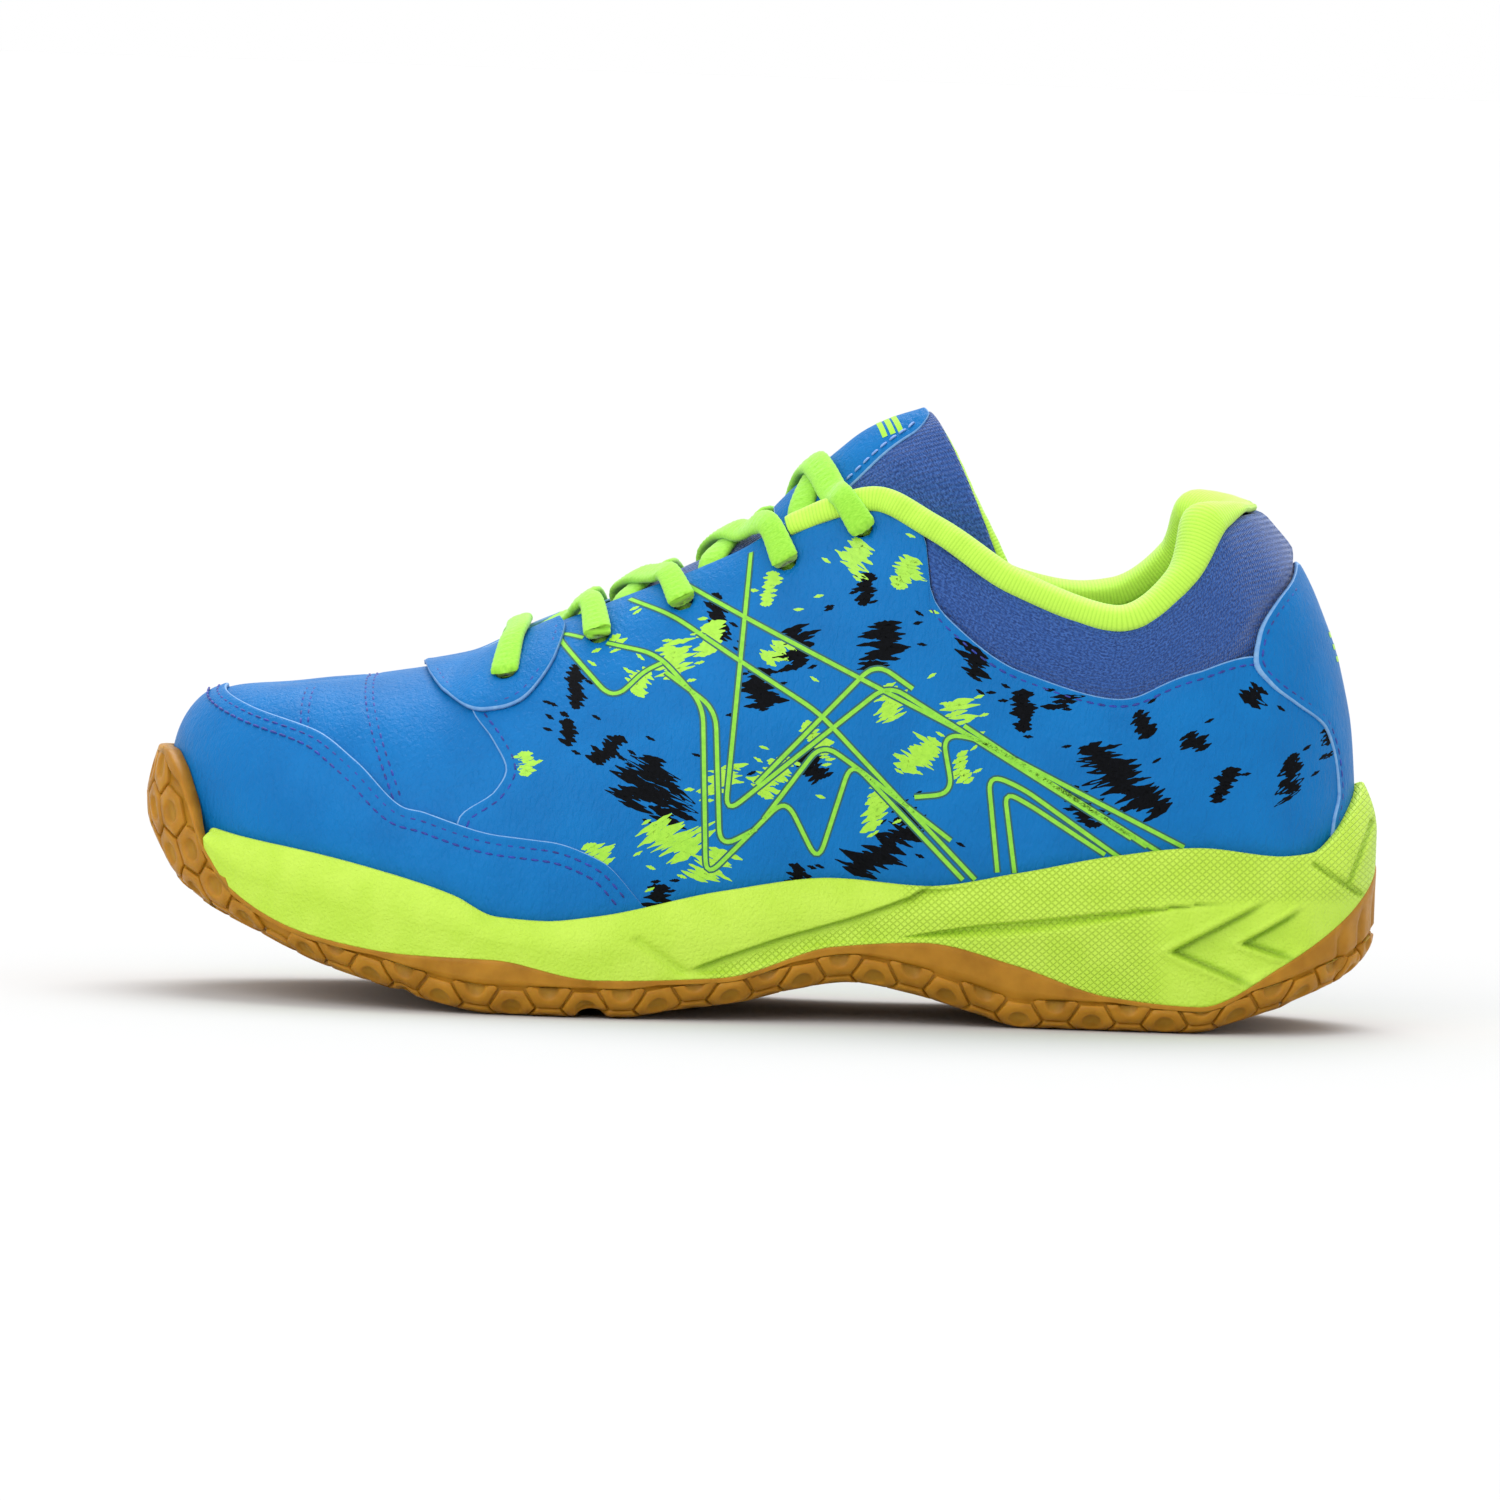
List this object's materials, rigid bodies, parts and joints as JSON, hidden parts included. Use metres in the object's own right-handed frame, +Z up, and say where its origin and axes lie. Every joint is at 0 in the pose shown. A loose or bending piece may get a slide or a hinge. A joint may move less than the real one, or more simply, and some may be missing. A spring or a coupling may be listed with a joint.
{
  "type": "court shoe",
  "caption": "Low indoor racket-court shoe for the left foot: laced padded upper on a cupped foam midsole with a gum rubber outsole and a removable sockliner.",
  "frame": {"origin": "centre of the shoe's bounding box in plan, on the plane the tread stands on", "axes": "+X from toe to heel, along the shoe; +Y towards the inner (medial) side of the foot; +Z up"},
  "size_m": [0.2895, 0.1058, 0.1438],
  "materials": {
    "gum_rubber": "satin",
    "lime_foam": "matte",
    "blue_leather": "satin",
    "blue_knit": "matte",
    "lime_mesh": "matte",
    "lime_tape": "matte",
    "lime_lace": "matte",
    "stiffener": "matte",
    "padding_foam": "matte",
    "shank_plastic": "satin",
    "fibre_board": "matte",
    "aglet_film": "gloss"
  },
  "bodies": {
    "shoe": {"outsole": "gum_rubber", "midsole": "lime_foam", "shank_plate": "shank_plastic", "lasting_board": "fibre_board", "toe_cap": "blue_leather", "vamp": "blue_leather", "toe_puff": "stiffener", "vamp_lining": "lime_mesh", "throat_overlay": "blue_leather", "heel_panel": "blue_leather", "heel_counter": "stiffener", "collar_foam": "padding_foam", "quarter_lining": "lime_mesh", "collar_binding": "lime_tape", "quarter_lateral": "blue_leather", "collar_panel_lateral": "blue_knit", "eyestay_backer_lateral": "stiffener", "aglet_lateral": "aglet_film", "quarter_medial": "blue_leather", "collar_panel_medial": "blue_knit", "eyestay_backer_medial": "stiffener", "aglet_medial": "aglet_film", "lace": "lime_lace"},
    "tongue": {"tongue_face": "blue_leather", "tongue_knit": "blue_knit", "tongue_foam": "padding_foam", "tongue_lining": "lime_mesh", "tongue_binding": "lime_tape"},
    "sockliner": {"sockliner_foam": "padding_foam", "sockliner_cover": "lime_mesh"}
  },
  "joints": [
    {"name": "tongue_hinge", "type": "hinge", "parent": "shoe", "child": "tongue", "pos_m": [-0.066, 0, 0.074], "axis": [0, 1, 0], "range_deg": [0, 10], "stiffness_Nm_per_rad": 0.5, "springref_deg": -8.59},
    {"name": "sockliner_lift", "type": "hinge", "parent": "shoe", "child": "sockliner", "pos_m": [-0.126, 0, 0.038], "axis": [0, -1, 0], "range_deg": [0, 5]}
  ]
}
